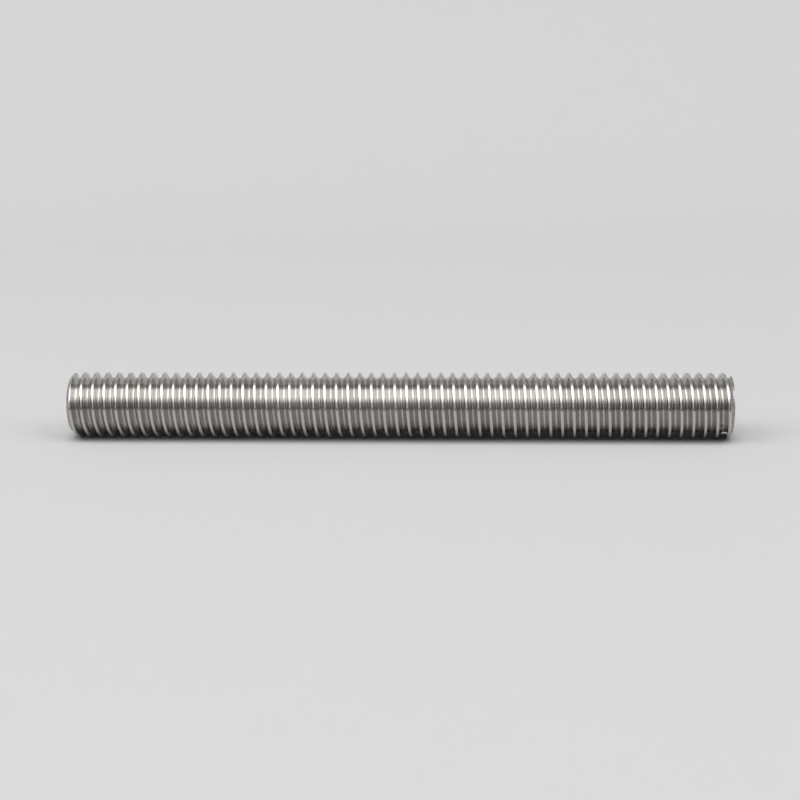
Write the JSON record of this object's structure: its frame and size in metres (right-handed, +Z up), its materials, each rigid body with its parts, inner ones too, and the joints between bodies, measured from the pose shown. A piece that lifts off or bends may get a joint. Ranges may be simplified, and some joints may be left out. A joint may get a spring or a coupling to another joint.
{
  "type": "threaded rod",
  "caption": "Short fully threaded steel rod with a coarse right-hand thread along its whole length and a chamfer at each end.",
  "frame": {"origin": "midway along the rod, straight below its axis, at the level of the floor it lies on", "axes": "+X along the rod's axis, +Z up"},
  "size_m": [0.0398, 0.0038, 0.0039],
  "materials": {
    "steel": "bright rolled stainless steel, satin with fine marks along the thread"
  },
  "bodies": {
    "root": {"threaded_rod": "steel"}
  },
  "joints": []
}
